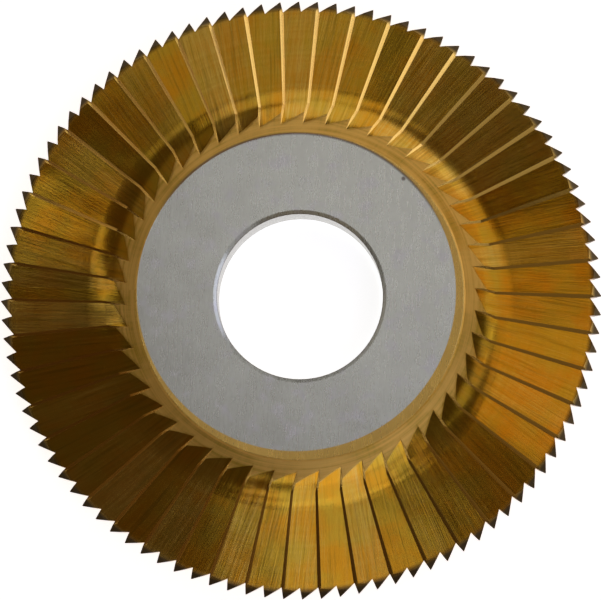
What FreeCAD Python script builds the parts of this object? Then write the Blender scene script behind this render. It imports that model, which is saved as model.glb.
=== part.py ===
import FreeCAD, Part
import math
import os
import Sketcher

# Key cutter wheel: one piece of high speed steel that turns about Z.
# A thick hub with flat ground faces carries a thinner toothed disc with a bevelled rim.
# Each flank has straight gullets. The back ones stand half a pitch behind the front ones,
# so that the rim shows twice as many teeth, taken in turn from the two flanks.
# Lengths are in millimetres, angles in degrees. The origin is on the axis, on the lower hub face.

NODE = "cutter_wheel"

# Driving dimensions: alias, value, meaning.
SIZES = [
    ("outer_diameter", 80.0, "over the tooth tips"),
    ("bore_diameter", 22.0, "spindle bore"),
    ("bore_chamfer", 0.5, "at both mouths of the bore"),
    ("hub_thickness", 7.5, "between the two ground hub faces"),
    ("hub_face_diameter", 43.4, "flat ground face"),
    ("hub_edge_break", 0.25, "small bevel round the hub face"),
    ("shoulder_angle", 16.8, "fall of the shoulder cone from the hub face"),
    ("flank_angle", 4.0, "fall of the toothed flank towards the rim"),
    ("rim_bevel_width", 1.35, "radial width of the bevel on each rim tooth"),
    ("rim_thickness", 2.6, "across the flanks where the rim bevel starts"),
    ("edge_thickness", 0.4, "across the tooth tips"),
    ("rim_stock", 0.5, "metal outside the tooth tips before the rim is cut"),
    ("teeth_per_flank", 50, "gullets on each flank"),
    ("gullet_depth", 0.55, "from the flank to the gullet floor"),
    ("rake_lean", 46.0, "lean of the rake face from the wheel's axis"),
    ("land_angle", 6.6, "rise of the land from the gullet floor"),
    ("rake_offset", 1.45, "the gullets pass this far beside the axis"),
    ("runout_start", 26.0, "distance from the axis where the gullet's inner end turns up"),
    ("runout_angle", 26.4, "rise of the inner end towards the hub"),
    ("runout_lean", 22.0, "sideways lean of that rise from the wheel's axis"),
    ("rim_tooth_depth", 1.48, "from the tooth tips to the notches of the rim"),
    ("rim_rake_lean", 10.0, "lean of the notch's steep side from the radius"),
    ("tip_land", 0.12, "width of a tooth tip along the rim"),
    ("tip_setback", 0.15, "from the tooth crest to the tip, along the rim"),
    ("land_overlap", 1.15, "the land runs past the next crest by this share of a pitch"),
    ("tool_width", 3.0, "depth of the gullet tool's section"),
    ("cut_margin", 1.0, "how far the cuts run past the metal"),
]

# Values that follow from the driving dimensions.
DERIVED = [
    ("half_hub", "=hub_thickness / 2", "hub face above the middle plane"),
    ("outer_radius", "=outer_diameter / 2", "radius of the tooth tips"),
    ("half_pitch", "=180 / teeth_per_flank", "angle from one rim tooth to the next"),
    ("rim_pitch", "=2 * outer_radius * sin(half_pitch / 2 * 1deg)", "from tip to tip"),
    ("bevel_radius", "=outer_radius - rim_bevel_width", "inner radius of the rim bevel"),
    ("bevel_fall", "=(rim_thickness - edge_thickness) / 2 / rim_bevel_width", "slope of the bevel"),
    ("break_radius", "=hub_face_diameter / 2 + hub_edge_break", "top of the shoulder cone"),
    ("stock_radius", "=outer_radius + rim_stock", "radius of the turned blank"),
    (
        "stock_height",
        "=rim_thickness / 2 - (stock_radius - bevel_radius) * tan(flank_angle * 1deg)",
        "flank above the middle plane at the blank's rim",
    ),
    (
        "foot_height",
        "=rim_thickness / 2 + (bevel_radius - runout_start) * tan(flank_angle * 1deg)"
        " - gullet_depth / cos(flank_angle * 1deg)",
        "gullet floor above the middle plane where the run-out starts",
    ),
    ("land_reach", "=land_overlap * 2 * rim_pitch", "width of the land that one gullet cuts"),
    ("land_dip", "=rake_lean - land_angle", "angle from the land to the square of the rake face"),
    ("runout_rise", "=tan(runout_angle * 1deg)", "rise of the inner end for each unit inwards"),
    ("runout_drift", "=runout_rise * tan(runout_lean * 1deg)", "its sideways move for each unit"),
    ("rake_width", "=gullet_depth * tan(rake_lean * 1deg)", "rake face seen along the axis"),
    (
        "tip_angle",
        "=asin((rake_offset + rake_width - tip_setback) / outer_radius) / 1deg",
        "angle of the first tooth tip",
    ),
]


def fill_sheet(doc):
    """Put the driving dimensions and what follows from them into the document's spreadsheet."""
    sheet = doc.addObject("Spreadsheet::Sheet", "Sizes")
    for row, (alias, value, meaning) in enumerate(SIZES + DERIVED, start=1):
        sheet.set(f"A{row}", alias)
        sheet.set(f"B{row}", str(value))
        sheet.set(f"C{row}", meaning)
        sheet.setAlias(f"B{row}", alias)
    doc.recompute()
    return sheet


def origin_plane(body, role):
    return next(plane for plane in body.Origin.OriginFeatures if plane.Role == role)


def new_sketch(body, name, role):
    sketch = body.newObject("Sketcher::SketchObject", name)
    sketch.AttachmentSupport = [(origin_plane(body, role), "")]
    sketch.MapMode = "FlatFace"
    return sketch


def closed_outline(sketch, points):
    """Draw a closed chain of lines through the points and join their ends."""
    count = len(points)
    for i, (x, y) in enumerate(points):
        next_x, next_y = points[(i + 1) % count]
        start = FreeCAD.Vector(x, y, 0)
        end = FreeCAD.Vector(next_x, next_y, 0)
        sketch.addGeometry(Part.LineSegment(start, end), False)
    for i in range(count):
        sketch.addConstraint(Sketcher.Constraint("Coincident", i, 2, (i + 1) % count, 1))


def pin_point(sketch, line, name, x_rule, y_rule):
    """Tie the start of a line to the sheet, as its distances from the sketch's origin."""
    point = sketch.getPoint(line, 1)
    for kind, at, rule in (("DistanceX", point.x, x_rule), ("DistanceY", point.y, y_rule)):
        label = f"{name}_{kind[-1].lower()}"
        index = sketch.addConstraint(Sketcher.Constraint(kind, -1, 1, line, 1, at))
        sketch.renameConstraint(index, label)
        sketch.setExpression(f"Constraints.{label}", rule)


def checked_cut(doc, feature, solid_before):
    """Recompute and make sure that the feature took metal away."""
    doc.recompute()
    left = feature.Shape.Volume
    if left >= solid_before:
        raise RuntimeError(f"{feature.Label} cuts nothing")
    print(f"{feature.Label}: {solid_before:.1f} -> {left:.1f} mm3")
    return left


def add_blank(doc, body, size):
    """Turned blank: bore with chamfers, hub, shoulder cones and flanks."""
    sketch = new_sketch(body, "BlankSection", "XZ_Plane")
    shoulder_fall = math.tan(math.radians(size("shoulder_angle")))
    flank_fall = math.tan(math.radians(size("flank_angle")))
    break_height = size("half_hub") - size("hub_edge_break")
    drop = break_height - size("stock_height")
    run = size("stock_radius") - size("break_radius")
    cone_width = (drop - run * flank_fall) / (shoulder_fall - flank_fall)
    bore_radius = size("bore_diameter") / 2
    upper = [
        (bore_radius, size("half_hub") - size("bore_chamfer")),
        (bore_radius + size("bore_chamfer"), size("half_hub")),
        (size("hub_face_diameter") / 2, size("half_hub")),
        (size("break_radius"), break_height),
        (size("break_radius") + cone_width, break_height - cone_width * shoulder_fall),
        (size("stock_radius"), size("stock_height")),
    ]
    lower = [(radius, -height) for radius, height in reversed(upper)]
    closed_outline(sketch, upper + lower)
    last = len(upper) + len(lower) - 1
    for i in range(len(upper)):
        sketch.addConstraint(Sketcher.Constraint("Symmetric", i, 1, last - i, 1, -1))
    pin_point(sketch, 0, "bore", "Sizes.bore_diameter / 2", "Sizes.half_hub - Sizes.bore_chamfer")
    pin_point(sketch, 1, "mouth", "Sizes.bore_diameter / 2 + Sizes.bore_chamfer", "Sizes.half_hub")
    pin_point(sketch, 2, "hub", "Sizes.hub_face_diameter / 2", "Sizes.half_hub")
    pin_point(sketch, 3, "shoulder", "Sizes.break_radius", "Sizes.half_hub - Sizes.hub_edge_break")
    pin_point(sketch, 5, "rim", "Sizes.stock_radius", "Sizes.stock_height")
    for line, alias in ((3, "shoulder_angle"), (4, "flank_angle")):
        angle = math.radians(size(alias))
        index = sketch.addConstraint(Sketcher.Constraint("Angle", line, 1, -1, 1, angle))
        sketch.renameConstraint(index, alias)
        sketch.setExpression(f"Constraints.{alias}", f"Sizes.{alias} * 1deg")
    blank = body.newObject("PartDesign::Revolution", "Blank")
    blank.Profile = sketch
    blank.ReferenceAxis = (sketch, ["V_Axis"])
    blank.Angle = 360
    doc.recompute()
    return blank


def add_notch(doc, body, size):
    """The slanted notch that parts one rim tooth from the next."""
    sketch = new_sketch(body, "NotchOutline", "XY_Plane")
    sketch.setExpression(
        "AttachmentOffset", "placement(vector(0; 0; 0); rotationz(Sizes.tip_angle * 1deg))"
    )
    lean = math.tan(math.radians(size("rim_rake_lean")))
    outside = size("outer_radius") + size("cut_margin")
    turn = math.radians(size("half_pitch")) - size("tip_land") / size("outer_radius")
    next_tip = (size("outer_radius") * math.cos(turn), -size("outer_radius") * math.sin(turn))
    valley = (
        size("outer_radius") - size("rim_tooth_depth"),
        -size("rim_tooth_depth") * lean,
    )
    reach = (outside - valley[0]) / (next_tip[0] - valley[0])
    back_end = (outside, valley[1] + reach * (next_tip[1] - valley[1]))
    closed_outline(sketch, [valley, back_end, (outside, size("cut_margin") * lean)])
    tip_point = sketch.addGeometry(Part.Point(FreeCAD.Vector(*next_tip, 0)), True)
    sketch.addConstraint(Sketcher.Constraint("PointOnObject", tip_point, 1, 0))
    sketch.addConstraint(Sketcher.Constraint("Vertical", 1))
    turn_rule = "(Sizes.half_pitch * 1deg - Sizes.tip_land / Sizes.outer_radius * 1rad)"
    lean_rule = "tan(Sizes.rim_rake_lean * 1deg)"
    pin_point(
        sketch,
        tip_point,
        "next_tip",
        f"Sizes.outer_radius * cos({turn_rule})",
        f"-Sizes.outer_radius * sin({turn_rule})",
    )
    pin_point(
        sketch,
        0,
        "valley",
        "Sizes.outer_radius - Sizes.rim_tooth_depth",
        f"-Sizes.rim_tooth_depth * {lean_rule}",
    )
    pin_point(
        sketch,
        2,
        "steep_side",
        "Sizes.outer_radius + Sizes.cut_margin",
        f"Sizes.cut_margin * {lean_rule}",
    )
    notch = body.newObject("PartDesign::Pocket", "RimNotch")
    notch.Profile = sketch
    notch.Type = "ThroughAll"
    notch.Midplane = True
    return notch


def add_tip_bevels(doc, body, size):
    """The flat tip and the two bevels of one rim tooth, cut straight across it."""
    sketch = new_sketch(body, "TipOutline", "XZ_Plane")
    sketch.setExpression(
        "AttachmentOffset", "placement(vector(0; 0; 0); rotationy(Sizes.tip_angle * 1deg))"
    )
    inside = size("bevel_radius") - size("cut_margin")
    outside = size("stock_radius") + size("cut_margin")
    top = size("rim_thickness") / 2 + size("cut_margin") * size("bevel_fall")
    edge = size("edge_thickness") / 2
    closed_outline(
        sketch,
        [
            (inside, top),
            (size("outer_radius"), edge),
            (size("outer_radius"), -edge),
            (inside, -top),
            (outside, -top),
            (outside, top),
        ],
    )
    for first, last in ((0, 3), (1, 2), (5, 4)):
        sketch.addConstraint(Sketcher.Constraint("Symmetric", first, 1, last, 1, -1))
    top_rule = "Sizes.rim_thickness / 2 + Sizes.cut_margin * Sizes.bevel_fall"
    pin_point(sketch, 0, "inside", "Sizes.bevel_radius - Sizes.cut_margin", top_rule)
    pin_point(sketch, 1, "tip", "Sizes.outer_radius", "Sizes.edge_thickness / 2")
    pin_point(sketch, 5, "outside", "Sizes.stock_radius + Sizes.cut_margin", top_rule)
    bevels = body.newObject("PartDesign::Pocket", "TipBevels")
    bevels.Profile = sketch
    bevels.Type = "Length"
    bevels.Midplane = True
    bevels.setExpression("Length", "2 * Sizes.rim_pitch * 1mm")
    return bevels


def add_rim_teeth(doc, body, size, solid_before):
    """Notches and bevelled tips all round the rim, for the teeth of both flanks."""
    notch = add_notch(doc, body, size)
    left = checked_cut(doc, notch, solid_before)
    bevels = add_tip_bevels(doc, body, size)
    left = checked_cut(doc, bevels, left)
    pattern = add_pattern(body, "RimTeeth", [notch, bevels], "2 * Sizes.teeth_per_flank")
    return checked_cut(doc, pattern, left)


def add_flank_gullets(doc, body, size, side, turn_rule, name, solid_before):
    """Gullets of one flank: a straight V cut, and an inner end where the tool is lifted out.

    side is 1 for the upper flank and -1 for the lower one. The sketch plane crosses the
    gullet where its inner end starts, with the foot of the rake face at the sketch's origin
    and the rake face along the vertical axis. The same outline is cut outwards along the
    floor, and inwards along a rising line that runs out through the shoulder cone.
    """
    sketch = new_sketch(body, f"{name}Section", "YZ_Plane")
    sketch.setExpression(
        "AttachmentOffset",
        f"placement(vector(0; 0; 0); rotationy({turn_rule} * 1deg))"
        f" * placement(vector(Sizes.rake_offset; {side} * Sizes.foot_height; Sizes.runout_start);"
        f" rotationx({side} * Sizes.flank_angle * 1deg))"
        f" * placement(vector(0; 0; 0); rotationz({-side} * Sizes.rake_lean * 1deg))",
    )
    dip = math.radians(size("land_dip"))
    land_x = -size("land_reach") * math.cos(dip)
    land_y = -side * size("land_reach") * math.sin(dip)
    top = side * size("tool_width")
    closed_outline(sketch, [(0, 0), (land_x, land_y), (land_x, top), (0, top)])
    land_x_rule = "-Sizes.land_reach * cos(Sizes.land_dip * 1deg)"
    land_y_rule = f"{-side} * Sizes.land_reach * sin(Sizes.land_dip * 1deg)"
    top_rule = f"{side} * Sizes.tool_width"
    sketch.addConstraint(Sketcher.Constraint("Coincident", 0, 1, -1, 1))
    pin_point(sketch, 1, "land_end", land_x_rule, land_y_rule)
    pin_point(sketch, 2, "land_top", land_x_rule, top_rule)
    pin_point(sketch, 3, "rake_top", "0", top_rule)
    straight = body.newObject("PartDesign::Pocket", f"{name}Straight")
    straight.Profile = sketch
    straight.Type = "Length"
    straight.Reversed = True
    straight.setExpression(
        "Length", "(Sizes.outer_radius - Sizes.runout_start + Sizes.cut_margin) * 1mm"
    )
    left = checked_cut(doc, straight, solid_before)
    runout = body.newObject("PartDesign::Pocket", f"{name}RunOut")
    runout.Profile = sketch
    runout.Type = "Length"
    runout.UseCustomVector = True
    runout.setExpression(
        "Direction.x", f"-cos({turn_rule} * 1deg) - Sizes.runout_drift * sin({turn_rule} * 1deg)"
    )
    runout.setExpression(
        "Direction.y", f"-sin({turn_rule} * 1deg) + Sizes.runout_drift * cos({turn_rule} * 1deg)"
    )
    runout.setExpression("Direction.z", f"{side} * Sizes.runout_rise")
    runout.setExpression("Length", "(Sizes.runout_start - Sizes.hub_face_diameter / 2) * 1mm")
    left = checked_cut(doc, runout, left)
    pattern = add_pattern(body, f"{name}Pattern", [straight, runout], "Sizes.teeth_per_flank")
    return checked_cut(doc, pattern, left)


def add_pattern(body, name, features, count_rule):
    pattern = body.newObject("PartDesign::PolarPattern", name)
    pattern.Originals = features
    z_axis = next(axis for axis in body.Origin.OriginFeatures if axis.Role == "Z_Axis")
    pattern.Axis = (z_axis, [""])
    pattern.Angle = 360
    pattern.setExpression("Occurrences", count_rule)
    body.Tip = pattern
    return pattern


def check_document(doc):
    for thing in doc.Objects:
        if "Invalid" in thing.State or "Error" in thing.State:
            raise RuntimeError(f"{thing.Name} failed: {thing.State}")


def main():
    doc = FreeCAD.newDocument("key_cutter")
    sheet = fill_sheet(doc)

    def size(alias):
        value = sheet.get(alias)
        return float(getattr(value, "Value", value))

    body = doc.addObject("PartDesign::Body", "CutterWheel")
    body.Label = NODE
    blank = add_blank(doc, body, size)
    left = add_rim_teeth(doc, body, size, blank.Shape.Volume)
    left = add_flank_gullets(doc, body, size, 1, "0", "FrontGullet", left)
    left = add_flank_gullets(doc, body, size, -1, "Sizes.half_pitch", "BackGullet", left)
    body.setExpression("Placement", "placement(vector(0; 0; Sizes.half_hub); rotationz(0 deg))")
    doc.recompute()
    check_document(doc)
    shape = body.Shape
    if shape.isNull() or not shape.isValid() or len(shape.Solids) != 1:
        raise RuntimeError("the wheel is not one valid solid")
    print(f"{NODE}: {shape.Volume:.1f} mm3, {len(shape.Faces)} faces")
    os.makedirs("parts", exist_ok=True)
    shape.exportStep(os.path.join("parts", NODE + ".step"))


main()
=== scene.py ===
import math

import bmesh
import bpy
from mathutils import Matrix, Vector


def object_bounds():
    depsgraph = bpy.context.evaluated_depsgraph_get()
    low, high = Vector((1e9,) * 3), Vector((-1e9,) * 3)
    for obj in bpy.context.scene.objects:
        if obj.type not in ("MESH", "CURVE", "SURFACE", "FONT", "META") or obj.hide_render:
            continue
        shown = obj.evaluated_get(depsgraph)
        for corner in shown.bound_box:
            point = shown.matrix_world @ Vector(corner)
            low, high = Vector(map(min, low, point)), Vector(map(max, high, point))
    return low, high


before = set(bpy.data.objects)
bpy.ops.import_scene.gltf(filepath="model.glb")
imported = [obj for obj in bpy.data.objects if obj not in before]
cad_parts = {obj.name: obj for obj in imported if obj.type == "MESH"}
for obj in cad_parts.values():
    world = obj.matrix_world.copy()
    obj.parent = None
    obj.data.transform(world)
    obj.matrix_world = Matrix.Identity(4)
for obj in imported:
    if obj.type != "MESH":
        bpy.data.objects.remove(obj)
cad_low, cad_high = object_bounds()

MM = 0.001

# Sizes of the wheel that its finish follows, as in the CAD model.
BORE_RADIUS = 11.0 * MM
BEVEL_RADIUS = 38.65 * MM
TEETH_PER_FLANK = 50
PITCH = 2 * math.pi / TEETH_PER_FLANK
RAKE_OFFSET = 1.45 * MM
FLANK_SLOPE = math.tan(math.radians(4.0))
SHOULDER_RADIUS = 21.95 * MM
SHOULDER_SLOPE = math.tan(math.radians(16.8))
HUB_EDGE_BREAK = 0.25 * MM
MIDDLE = (cad_low.z + cad_high.z) / 2
HUB_HEIGHT = cad_high.z - MIDDLE
SHOULDER_HEIGHT = HUB_HEIGHT - HUB_EDGE_BREAK

# Here the shoulder cone meets the flank. All that lies further out is toothed.
SHOULDER_END = 26.3 * MM

# The gullets' floors start to curve up at this radius. Inwards of it their slope grows evenly,
# by 1 in each length of the curve.
ROUNDING_RADIUS = 28.5 * MM
ROUNDING_CURVE = 12.2 * MM

# How far each land leans its own way.
LAND_LEAN = 0.03

# The ground grey patch on a hub face, where the coating is worn or ground off.
PATCH_RADIUS = 21.15 * MM
PATCH_CENTRE = Vector((-0.5, 0.57)) * MM
NICK_PLACE = Vector((13.1, 16.2, 7.5)) * MM

GOLD_ORANGE = (0.66, 0.28, 0.012, 1.0)
GOLD_OLIVE = (0.57, 0.33, 0.024, 1.0)
GOLD_PALE = (0.80, 0.51, 0.11, 1.0)
GOLD_DARK = (0.26, 0.15, 0.012, 1.0)
# A painted sheen on the rake faces.
RAKE_SHEEN_GOLD = (0.88, 0.57, 0.16, 1.0)
SHOULDER_GOLD = (0.97, 0.59, 0.13, 1.0)
FACE_GOLD = (0.80, 0.52, 0.14, 1.0)
# Painted shade on the rim.
RIM_SHADE_BROWN = (0.07, 0.05, 0.028, 1.0)
STEEL_DARK = (0.60, 0.61, 0.58, 1.0)
STEEL_PALE = (0.84, 0.87, 0.83, 1.0)
STEEL_VIOLET = (0.78, 0.76, 0.86, 1.0)
BORE_STEEL = (0.48, 0.46, 0.42, 1.0)
# Painted shade along the patch's upper edge, and a dark nick.
SHADE_LINE_AND_NICK_DARK = (0.16, 0.12, 0.11, 1.0)
PAPER_GREY = (0.78, 0.78, 0.78, 1.0)
PAPER_PALE = (0.82, 0.82, 0.82, 1.0)

# The camera looks down at the wheel, tilted a little towards its lower edge. Angles are in degrees.
VIEW_TILT = 5.6
VIEW_TILT_SIDE = 72.5
VIEW_ROLL = math.radians(2.25)
VIEW_AIM = Vector((-0.016, -0.165)) * MM
VIEW_DISTANCE = 0.6
VIEW_WIDTH = 80.115 * MM
SENSOR_WIDTH = 36.0

FLOOR_HALF_WIDTH = 1.5
FLOOR_GAP = 0.02 * MM
FLOOR_GLOW = 0.84

LIGHT_DISTANCE = 0.9
WHITE_LIGHT = (1.0, 1.0, 1.0)
DAYLIGHT = (0.92, 1.0, 1.45)
COOL_LIGHT = (0.97, 1.0, 1.2)
WARM_LIGHT = (1.2, 0.93, 0.6)
ROOM_COLOUR = (1.0, 0.75, 0.45, 1.0)
ROOM_BRIGHTNESS = 0.065


class Shade:
    """One value of a shader, with plain arithmetic written as maths nodes."""

    def __init__(self, tree, socket):
        self.tree = tree
        self.socket = socket

    def __add__(self, other):
        return self.tree.maths("ADD", self, other)

    def __radd__(self, other):
        return self.tree.maths("ADD", other, self)

    def __sub__(self, other):
        return self.tree.maths("SUBTRACT", self, other)

    def __rsub__(self, other):
        return self.tree.maths("SUBTRACT", other, self)

    def __mul__(self, other):
        return self.tree.maths("MULTIPLY", self, other)

    def __rmul__(self, other):
        return self.tree.maths("MULTIPLY", other, self)

    def __truediv__(self, other):
        return self.tree.maths("DIVIDE", self, other)

    def __rtruediv__(self, other):
        return self.tree.maths("DIVIDE", other, self)


class Tree:
    """The nodes of one material or world, added one by one."""

    def __init__(self, owner):
        owner.use_nodes = True
        self.nodes = owner.node_tree.nodes
        self.links = owner.node_tree.links
        self.nodes.clear()

    def add(self, kind, settings=None, **inputs):
        """A node of that kind, its inputs by name or, as in_0 and in_1, by number."""
        node = self.nodes.new(kind)
        for name, value in (settings or {}).items():
            setattr(node, name, value)
        for name, value in inputs.items():
            key = int(name[3:]) if name.startswith("in_") else name.replace("_", " ")
            self.feed(node.inputs[key], value)
        return node

    def feed(self, socket, value):
        """Links a shade or another node's output to the socket, or sets its value."""
        if isinstance(value, Shade):
            self.links.new(value.socket, socket)
        elif isinstance(value, bpy.types.NodeSocket):
            self.links.new(value, socket)
        else:
            socket.default_value = value

    def shade(self, node, output=0):
        return Shade(self, node.outputs[output])

    def maths(self, operation, *values):
        inputs = {f"in_{i}": value for i, value in enumerate(values)}
        return self.shade(self.add("ShaderNodeMath", {"operation": operation}, **inputs))

    def vectors(self, operation, *values, output="Vector"):
        inputs = {f"in_{i}": value for i, value in enumerate(values)}
        node = self.add("ShaderNodeVectorMath", {"operation": operation}, **inputs)
        return self.shade(node, output)

    def vector(self, x, y, z):
        return self.shade(self.add("ShaderNodeCombineXYZ", X=x, Y=y, Z=z))

    def parts(self, vector):
        node = self.add("ShaderNodeSeparateXYZ", Vector=vector)
        return [self.shade(node, i) for i in range(3)]

    def smooth(self, value, low, high):
        """0 below low, 1 above high, and a soft step between them."""
        settings = {"interpolation_type": "SMOOTHSTEP"}
        node = self.add("ShaderNodeMapRange", settings, Value=value, From_Min=low, From_Max=high)
        return self.shade(node)

    def mix(self, factor, colour_a, colour_b):
        """Colour a where the factor is 0, colour b where it is 1."""
        settings = {"data_type": "RGBA"}
        node = self.add("ShaderNodeMix", settings, in_0=factor, in_6=colour_a, in_7=colour_b)
        return self.shade(node, 2)

    def noise(self, place, scale, detail, roughness=0.5):
        node = self.add(
            "ShaderNodeTexNoise", Vector=place, Scale=scale, Detail=detail, Roughness=roughness
        )
        return self.shade(node)

    def chance(self, place):
        """A random number from 0 to 1 that is the same all over one whole place."""
        node = self.add("ShaderNodeTexWhiteNoise", {"noise_dimensions": "3D"}, Vector=place)
        return self.shade(node)

    def object_place(self):
        return self.shade(self.add("ShaderNodeTexCoord"), "Object")


class WheelPoint:
    """Where a shaded point lies on the wheel. Masks are 1 on what they are named for."""

    def __init__(self, tree):
        self.tree = tree
        self.place = tree.object_place()
        self.x, self.y, self.z = tree.parts(self.place)
        self.radius = tree.maths("SQRT", self.x * self.x + self.y * self.y)
        self.angle = tree.maths("ARCTAN2", self.y, self.x)
        self.upper = tree.maths("GREATER_THAN", self.z, MIDDLE)
        self.height = tree.maths("ABSOLUTE", self.z - MIDDLE)
        self.find_tooth()
        self.find_surface()
        self.find_bare_steel()

    def find_tooth(self):
        """The tooth's number on its flank, and how far across its land the point lies."""
        lead = self.tree.maths("ARCSINE", RAKE_OFFSET / self.radius)
        turn = (self.angle - lead) / PITCH + TEETH_PER_FLANK + (1.0 - self.upper) * 0.5
        self.tooth = self.tree.maths("FLOOR", turn)
        self.across = (turn - self.tooth) * PITCH * self.radius

    def find_surface(self):
        """Masks for the rake faces, the lands with their run-outs, the rim and the hub faces."""
        tree = self.tree
        self.facing = tree.shade(tree.add("ShaderNodeNewGeometry"), "Normal")
        self.facing_x, self.facing_y, facing_z = tree.parts(self.facing)

        # A rake face is told from the rest by how little it looks up.
        self.upright = tree.maths("MAXIMUM", tree.maths("ABSOLUTE", facing_z), 0.05)
        off_hub = tree.maths("GREATER_THAN", self.radius, SHOULDER_RADIUS)
        self.rake = (1.0 - tree.smooth(self.upright, 0.74, 0.82)) * off_hub

        # The gullets are cut into the turned shoulder cone, so lands and run-outs lie below it.
        cone_height = SHOULDER_HEIGHT - (self.radius - SHOULDER_RADIUS) * SHOULDER_SLOPE
        below_cone = tree.smooth(cone_height - self.height, 0.03 * MM, 0.09 * MM)
        past_cone = tree.maths("GREATER_THAN", self.radius, SHOULDER_END)
        self.toothed = tree.maths("MAXIMUM", below_cone * off_hub, past_cone)

        self.rim = tree.smooth(self.radius, BEVEL_RADIUS - 0.3 * MM, BEVEL_RADIUS + 0.65 * MM)
        self.hub_face = tree.smooth(self.height, HUB_HEIGHT - 0.12 * MM, HUB_HEIGHT - 0.04 * MM)

    def find_bare_steel(self):
        """Masks for the grey patch on the hub faces, and for the bore with its chamfers."""
        tree = self.tree
        self.patch_x = self.x - PATCH_CENTRE.x
        self.patch_y = self.y - PATCH_CENTRE.y
        patch_square = self.patch_x * self.patch_x + self.patch_y * self.patch_y
        self.patch_radius = tree.maths("SQRT", patch_square)
        edge = 0.06 * MM
        in_patch = 1.0 - tree.smooth(self.patch_radius, PATCH_RADIUS - edge, PATCH_RADIUS + edge)
        in_bore = 1.0 - tree.smooth(self.radius, BORE_RADIUS + 0.45 * MM, BORE_RADIUS + 0.6 * MM)
        self.bare = tree.maths("MAXIMUM", self.hub_face * in_patch, in_bore)
        wall_end = BORE_RADIUS + 0.12 * MM
        self.bore_wall = 1.0 - tree.smooth(self.radius, BORE_RADIUS + 0.05 * MM, wall_end)


def grinding_lines(tree, point):
    """Fine lines that the grinding wheel leaves along each land."""
    place = tree.vector(point.across / MM * 6.0, point.radius / MM * 0.15, point.tooth * 3.7)
    return tree.noise(place, 1.0, 4.0, 0.65)


def dark_streaks(tree, point):
    """Broader streaks along the lands, where the coating is darker."""
    number = point.tooth * 5.3 + point.upper
    place = tree.vector(point.across / MM * 2.4, point.radius / MM * 0.1, number)
    return tree.smooth(tree.noise(place, 1.0, 3.0, 0.6), 0.45, 0.75)


def turning_rings(tree, point):
    """Faint rings round the wheel."""
    place = tree.vector(point.radius / MM * 2.2, point.angle * 0.8, point.upper * 5.0)
    return tree.noise(place, 1.0, 3.0, 0.6)


def steel_grain(tree, point):
    """Short lines that lie one way over the ground hub faces."""
    place = tree.vector(point.x / MM * 2.6, point.y / MM * 0.4, point.z / MM)
    return tree.noise(place, 1.0, 3.0, 0.65)


def gold_coating(tree, point, land_tone, lines, rings, stain):
    """The coating's colour: orange to olive on the lands and paler beside them. The rake faces are
    paler by a painted sheen, and the rim dark brown by painted shade.
    """
    gold = tree.mix(tree.smooth(stain, 0.35, 0.65), GOLD_OLIVE, GOLD_ORANGE)
    paleness = land_tone * 0.2 + lines * 0.6 + rings * 0.2
    gold = tree.mix(tree.smooth(paleness, 0.4, 0.82), gold, GOLD_PALE)
    gold = tree.mix(dark_streaks(tree, point) * 0.45, gold, GOLD_DARK)
    # The rake faces are painted paler: a painted sheen of the light they mirror.
    gold = tree.mix(point.rake * 0.7, gold, RAKE_SHEEN_GOLD)
    # The rim is painted dark brown: painted shade for the dark surroundings its bevel mirrors.
    gold = tree.mix(point.rim * 0.95, gold, RIM_SHADE_BROWN)
    cone_paleness = tree.smooth(rings * 0.6 + stain * 0.4, 0.3, 0.6)
    gold = tree.mix((1.0 - point.toothed) * cone_paleness, gold, SHOULDER_GOLD)
    return tree.mix(point.hub_face * 0.85, gold, FACE_GOLD)


def bare_steel(tree, point, grain, stain):
    """The bare steel's colour: grey with painted light paler towards the patch's upper right, and
    darker in the bore.
    """
    # Painted light: the patch is painted paler towards its upper right, its lit side.
    painted_light_paleness = (point.patch_x + point.patch_y) / PATCH_RADIUS * 0.14
    paleness = tree.smooth(grain * 0.6 + stain * 0.4 + painted_light_paleness, 0.2, 0.7)
    steel = tree.mix(paleness, STEEL_DARK, STEEL_PALE)
    tint = tree.noise(point.place, 420.0, 2.0)
    steel = tree.mix(tree.smooth(tint, 0.5, 0.75) * 0.5, steel, STEEL_VIOLET)
    return tree.mix(point.bore_wall, steel, BORE_STEEL)


def shade_line_and_nick(tree, point):
    """A dark line of painted shade along the patch's upper edge, where the coating ends, and a nick
    beside it.
    """
    # The dark line is painted shade, kept to the patch's upper edge. The nick is a mark of its own.
    distance = tree.maths("ABSOLUTE", point.patch_radius - PATCH_RADIUS)
    line = 1.0 - tree.smooth(distance, 0.02 * MM, 0.3 * MM)
    line = line * tree.smooth(point.patch_y / point.patch_radius, 0.3, 0.75)
    nick_distance = tree.vectors("DISTANCE", point.place, NICK_PLACE, output="Value")
    nick = 1.0 - tree.smooth(nick_distance, 0.15 * MM, 0.4 * MM)
    return tree.maths("MAXIMUM", line * 0.75, nick * 0.8)


def land_facing(tree, point):
    """The surface's direction, with each gullet's floor rounded and each land leaning its own way.

    The grinding wheel is round, so a floor curves up into its run-out without a crease.
    """
    slope_out = (point.facing_x * point.x + point.facing_y * point.y) / point.radius / point.upright
    round_slope = FLANK_SLOPE + (ROUNDING_RADIUS - point.radius) / ROUNDING_CURVE
    near_hub = tree.maths("LESS_THAN", point.radius, ROUNDING_RADIUS)
    on_floor = near_hub * point.toothed * (1.0 - point.rake)
    rounding = (round_slope - slope_out) * point.upright * on_floor / point.radius
    coated = 1.0 - point.bare
    lean_x = (tree.chance(tree.vector(point.tooth, point.upper, 1.5)) - 0.5) * LAND_LEAN
    lean_y = (tree.chance(tree.vector(point.tooth, point.upper, 2.5)) - 0.5) * LAND_LEAN
    turned_x = point.x * rounding + lean_x * coated
    turned_y = point.y * rounding + lean_y * coated
    turned = tree.vectors("ADD", point.facing, tree.vector(turned_x, turned_y, 0.0))
    return tree.vectors("NORMALIZE", turned)


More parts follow.
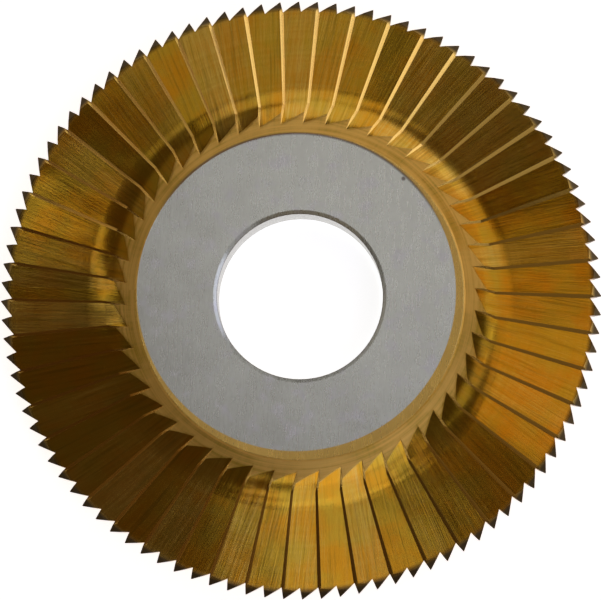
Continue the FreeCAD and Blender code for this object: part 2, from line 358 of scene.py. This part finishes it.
def surface_relief(tree, point, lines, grain):
    """The height of grinding lines, steel grain and long soft waves, in millimetres."""
    place = tree.vector(point.angle * 6.0, point.radius / MM * 0.12, point.upper * 3.0)
    waves = tree.noise(place, 1.0, 1.0)
    land_relief = (lines * 0.006 + waves * 0.06) * (1.0 - point.hub_face) * (1.0 - point.bare)
    return land_relief + grain * point.hub_face * 0.006


def coated_steel():
    """Gold coated ground steel, grey where the hub faces and the bore were ground after coating."""
    material = bpy.data.materials.new("coated_steel")
    tree = Tree(material)
    point = WheelPoint(tree)
    land_tone = tree.chance(tree.vector(point.tooth, point.upper, 0.5))
    lines = grinding_lines(tree, point)
    rings = turning_rings(tree, point)
    grain = steel_grain(tree, point)
    stain = tree.noise(point.place, 160.0, 4.0, 0.6)

    gold = gold_coating(tree, point, land_tone, lines, rings, stain)
    steel = bare_steel(tree, point, grain, stain)
    colour = tree.mix(point.bare, gold, steel)
    # Painted shade line at the patch's upper edge, and the dark nick.
    colour = tree.mix(shade_line_and_nick(tree, point), colour, SHADE_LINE_AND_NICK_DARK)

    # The lands are nearly mirrors. The rim is duller, and the turned cone much duller.
    gold_roughness = 0.09 + lines * 0.08 + land_tone * 0.04 + point.rim * 0.2
    gold_roughness = gold_roughness + (1.0 - point.toothed) * (0.28 + rings * 0.12)
    steel_roughness = 0.22 + grain * 0.12
    steel_share = tree.maths("MAXIMUM", point.bare, point.hub_face)

    relief = surface_relief(tree, point, lines, grain)
    facing = land_facing(tree, point)
    bump = tree.add("ShaderNodeBump", Strength=1.0, Distance=MM, Height=relief, Normal=facing)
    shader = tree.add(
        "ShaderNodeBsdfPrincipled",
        Base_Color=colour,
        Metallic=1.0 - (1.0 - point.toothed) * (1.0 - point.bare) * 0.15,
        Roughness=gold_roughness + (steel_roughness - gold_roughness) * steel_share,
        Normal=bump.outputs[0],
    )
    tree.add("ShaderNodeOutputMaterial", Surface=shader.outputs[0])
    return material


def white_paper():
    """Paper that the camera and reflections see as white. It still takes the wheel's shadow."""
    material = bpy.data.materials.new("white_paper")
    tree = Tree(material)
    fibre = tree.noise(tree.object_place(), 900.0, 3.0)
    paper = tree.add("ShaderNodeBsdfDiffuse", Color=tree.mix(fibre, PAPER_GREY, PAPER_PALE))
    ray = tree.add("ShaderNodeLightPath").outputs
    seen = tree.maths("MAXIMUM", ray["Is Camera Ray"], ray["Is Glossy Ray"])
    seen = tree.maths("MAXIMUM", seen, ray["Is Transmission Ray"])
    glow = tree.add("ShaderNodeEmission", Strength=FLOOR_GLOW)
    lit_paper = tree.add("ShaderNodeAddShader", in_0=paper.outputs[0], in_1=glow.outputs[0])
    shown = tree.add(
        "ShaderNodeMixShader", in_0=seen, in_1=paper.outputs[0], in_2=lit_paper.outputs[0]
    )
    tree.add("ShaderNodeOutputMaterial", Surface=shown.outputs[0])
    return material


def white_floor():
    """A sheet of white paper just under the wheel."""
    mesh = bpy.data.meshes.new("floor")
    sheet = bmesh.new()
    bmesh.ops.create_grid(sheet, x_segments=1, y_segments=1, size=FLOOR_HALF_WIDTH)
    bmesh.ops.translate(sheet, verts=sheet.verts, vec=(0.0, 0.0, cad_low.z - FLOOR_GAP))
    sheet.to_mesh(mesh)
    sheet.free()
    floor = bpy.data.objects.new("floor", mesh)
    floor.data.materials.append(white_paper())
    bpy.context.scene.collection.objects.link(floor)


def direction(from_top, clockwise):
    """The unit vector that many degrees off straight up, towards one side of the view.

    The side is given in degrees clockwise from the view's right.
    """
    flat = math.sin(math.radians(from_top))
    side = VIEW_ROLL - math.radians(clockwise)
    return Vector((math.cos(side) * flat, math.sin(side) * flat, math.cos(math.radians(from_top))))


def soft_light(name, from_top, clockwise, width, height, brightness, colour=WHITE_LIGHT):
    """A soft panel that looks at the wheel from there, its width level and its height upwards.

    A panel of brightness 1 looks white in a mirror. Its watts are four times its area for that.
    """
    lamp = bpy.data.lights.new(name, "AREA")
    lamp.shape = "RECTANGLE"
    lamp.size = width
    lamp.size_y = height
    lamp.energy = 4.0 * width * height * brightness
    lamp.color = colour
    light = bpy.data.objects.new(name, lamp)
    back = direction(from_top, clockwise)
    level = direction(90.0, clockwise + 90.0)
    light.location = back * LIGHT_DISTANCE
    light.rotation_mode = "QUATERNION"
    light.rotation_quaternion = Matrix((level, back.cross(level), back)).transposed().to_quaternion()
    bpy.context.scene.collection.objects.link(light)


def studio_light():
    """A dim warm room, and soft panels that the wheel's bright metal mirrors."""
    world = bpy.data.worlds.new("studio")
    bpy.context.scene.world = world
    tree = Tree(world)
    room = tree.add("ShaderNodeBackground", Color=ROOM_COLOUR, Strength=ROOM_BRIGHTNESS)
    tree.add("ShaderNodeOutputWorld", Surface=room.outputs[0])

    # The hub faces mirror the overhead panel, and the lands the ones round it.
    soft_light("overhead", 5.6, 252, 0.17, 0.17, 0.67)
    soft_light("right_high", 13.8, 20, 0.17, 0.12, 0.55, DAYLIGHT)
    soft_light("lower_right_high", 20.3, 41, 0.26, 0.09, 0.90, DAYLIGHT)
    soft_light("upper_right_high", 18.5, 308, 0.25, 0.12, 0.40, WARM_LIGHT)
    soft_light("upper_left_high", 22, 224, 0.28, 0.15, 0.31)

    # The curved ends of the gullets, the run-outs and the shoulder cone mirror these.
    soft_light("left_strip", 34, 170, 0.045, 0.62, 0.85, COOL_LIGHT)
    soft_light("lower_right", 31, 53, 0.38, 0.25, 0.70, DAYLIGHT)
    soft_light("lower_right_low", 47.2, 61, 0.54, 0.26, 0.82, DAYLIGHT)
    soft_light("upper_left", 33, 245, 0.34, 0.19, 0.52)
    soft_light("top_low", 48.5, 270, 0.66, 0.31, 0.62, COOL_LIGHT)
    soft_light("upper_right_middle", 28, 322, 0.30, 0.18, 0.36, WARM_LIGHT)
    soft_light("upper_right", 40, 318, 0.50, 0.20, 0.42)
    soft_light("upper_right_low", 53, 318, 0.60, 0.24, 0.36, WARM_LIGHT)
    soft_light("right", 38, 353, 0.34, 0.16, 0.32)
    soft_light("left_low", 52, 205, 0.70, 0.30, 0.08)

    # The steep rake faces mirror what stands round the wheel, near the floor.
    soft_light("strip_light", 84, 355, 1.00, 0.25, 1.0, COOL_LIGHT)
    soft_light("strip_light_low", 84, 41, 0.56, 0.25, 0.24)
    soft_light("strip_light_high", 84, 302, 0.75, 0.25, 0.35)
    soft_light("strip_light_left", 84, 205, 0.80, 0.25, 0.10, WARM_LIGHT)
    soft_light("strip_light_dim", 84, 102, 1.40, 0.25, 0.06, WARM_LIGHT)


def camera():
    """Looks down at the middle of the wheel, tilted and rolled as the photograph's outline says."""
    lens = bpy.data.cameras.new("camera")
    lens.sensor_width = SENSOR_WIDTH
    lens.lens = SENSOR_WIDTH * VIEW_DISTANCE / VIEW_WIDTH
    eye = bpy.data.objects.new("camera", lens)
    back = direction(VIEW_TILT, VIEW_TILT_SIDE)
    right = Vector((math.cos(VIEW_ROLL), math.sin(VIEW_ROLL), 0.0))
    right = (right - back * right.dot(back)).normalized()
    up = back.cross(right)
    aim = Vector((0.0, 0.0, MIDDLE)) + right * VIEW_AIM.x + up * VIEW_AIM.y
    eye.location = aim + back * VIEW_DISTANCE
    eye.rotation_mode = "QUATERNION"
    eye.rotation_quaternion = Matrix((right, up, back)).transposed().to_quaternion()
    bpy.context.scene.collection.objects.link(eye)
    bpy.context.scene.camera = eye


def dress_wheel():
    """Gives the CAD wheel its finish. Its mesh stays as it is."""
    finish = coated_steel()
    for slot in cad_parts["cutter_wheel"].material_slots:
        slot.material = finish


dress_wheel()
white_floor()
studio_light()
camera()
bpy.context.scene.view_settings.view_transform = "Standard"
